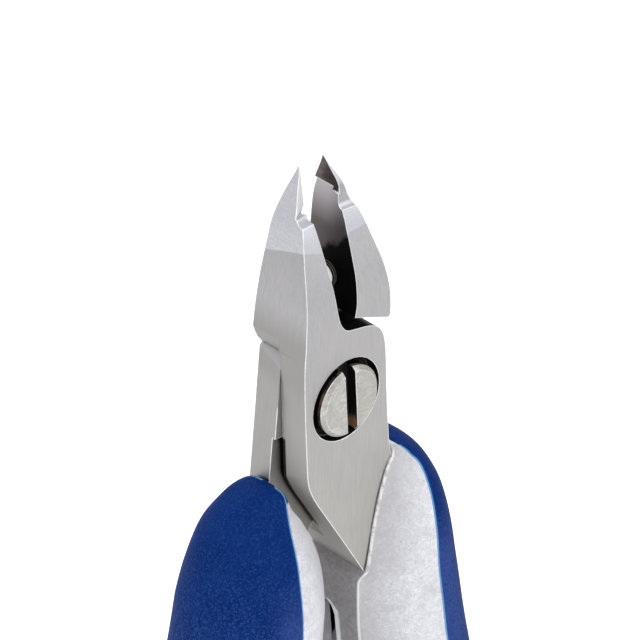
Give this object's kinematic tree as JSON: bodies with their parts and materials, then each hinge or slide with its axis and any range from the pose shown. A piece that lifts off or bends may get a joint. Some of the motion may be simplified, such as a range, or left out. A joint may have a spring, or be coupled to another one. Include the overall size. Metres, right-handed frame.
{
  "type": "diagonal cutting pliers",
  "caption": "Slim flush cutting pliers with a screwed lap joint, relieved pointed jaws, leaf springs between the handles and long two-tone cushioned grips.",
  "frame": {"origin": "on the pivot axis, at the flat back face of the head", "axes": "+Z towards the jaw tips, midway between the two halves; +Y along the pivot axis, from the screw head to the flat back of the head; +X towards the handle of the front half"},
  "size_m": [0.0563, 0.0147, 0.132],
  "materials": {
    "ground_steel": "satin ground",
    "nickel_screw": "turned, bright",
    "spring_steel": "rolled spring strip",
    "blue_shell": "fine textured",
    "white_pad": "soft matt with faint mottling"
  },
  "bodies": {
    "front_half": {"front_lever": "ground_steel", "right_grip_shell": "blue_shell", "right_grip_pad": "white_pad", "right_spring_pin": "spring_steel", "pivot_washer": "spring_steel"},
    "rear_half": {"rear_lever": "ground_steel", "left_grip_shell": "blue_shell", "left_grip_pad": "white_pad", "left_spring_pin": "spring_steel", "pivot_screw": "nickel_screw", "stop_screw": "nickel_screw"},
    "right_leaf": {"right_leaf_spring": "spring_steel"},
    "left_leaf": {"left_leaf_spring": "spring_steel"}
  },
  "joints": [
    {"name": "pivot", "type": "hinge", "parent": "front_half", "child": "rear_half", "pos_m": [0, 0, 0], "axis": [0, -1, 0], "range_deg": [0, 7.4], "stiffness_Nm_per_rad": 1.2},
    {"name": "right_leaf_turn", "type": "hinge", "parent": "front_half", "child": "right_leaf", "pos_m": [0.00596, 0, -0.03018], "axis": [0, -1, 0], "range_deg": [0, 7.4]},
    {"name": "left_leaf_turn", "type": "hinge", "parent": "rear_half", "child": "left_leaf", "pos_m": [-0.00596, 0, -0.03018], "axis": [0, 1, 0], "range_deg": [0, 7.4]}
  ],
  "couplings": [
    {"joint": "right_leaf_turn", "follows": "pivot", "ratio": 1},
    {"joint": "left_leaf_turn", "follows": "pivot", "ratio": 1}
  ]
}
